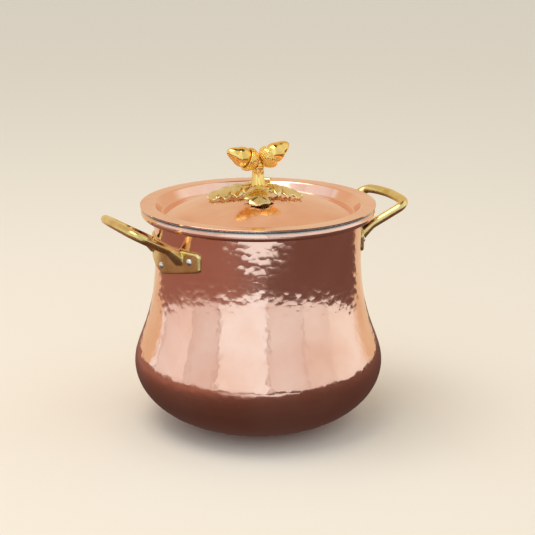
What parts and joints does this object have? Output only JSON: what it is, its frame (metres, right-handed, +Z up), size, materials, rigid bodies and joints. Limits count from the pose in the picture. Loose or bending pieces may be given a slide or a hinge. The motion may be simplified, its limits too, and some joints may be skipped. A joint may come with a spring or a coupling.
{
  "type": "covered copper soup pot",
  "caption": "Round-bellied hammered copper soup pot with a tin lining, two riveted brass loop handles and a lift-off lid with a cast brass acorn knob.",
  "frame": {"origin": "centre of the flat base, on the pot's axis, at the level it stands on", "axes": "+Z up along the pot's axis, the two handles on +X and -X, +Y away from the front"},
  "size_m": [0.3166, 0.253, 0.2892],
  "materials": {
    "copper_hammered": "polished copper, hammered all over outside, clear bright finish",
    "copper_polished": "smooth polished copper",
    "tin": "hot-wiped tin, soft satin",
    "steel_wire": "plain drawn steel wire, hidden in the rim",
    "brass_cast": "cast brass, buffed",
    "brass_polished": "cast brass, polished to a warm gold",
    "brass_pale": "cast brass, paler and less polished",
    "rivet_steel": "bright steel, domed",
    "screw_steel": "plain bright steel"
  },
  "bodies": {
    "pot": {"pot_shell": "copper_hammered", "pot_tin_lining": "tin", "rim_wire": "steel_wire", "handle_left": "brass_cast", "handle_right": "brass_cast", "rivets_left": "rivet_steel", "rivets_right": "rivet_steel"},
    "lid": {"lid_shell": "copper_polished", "lid_tin_lining": "tin", "knob_branch": "brass_polished", "acorn_left_cup": "brass_polished", "acorn_left_nut": "brass_polished", "acorn_right_cup": "brass_polished", "acorn_right_nut": "brass_polished", "oak_leaf_left": "brass_pale", "oak_leaf_right": "brass_pale", "oak_leaf_front": "brass_pale", "oak_leaf_rear": "brass_pale", "knob_screw": "screw_steel", "knob_washer": "screw_steel"}
  },
  "joints": [
    {"name": "lid_lift", "type": "slide", "parent": "pot", "child": "lid", "axis": [0, 0, 1], "range_m": [0, 0.15]}
  ]
}
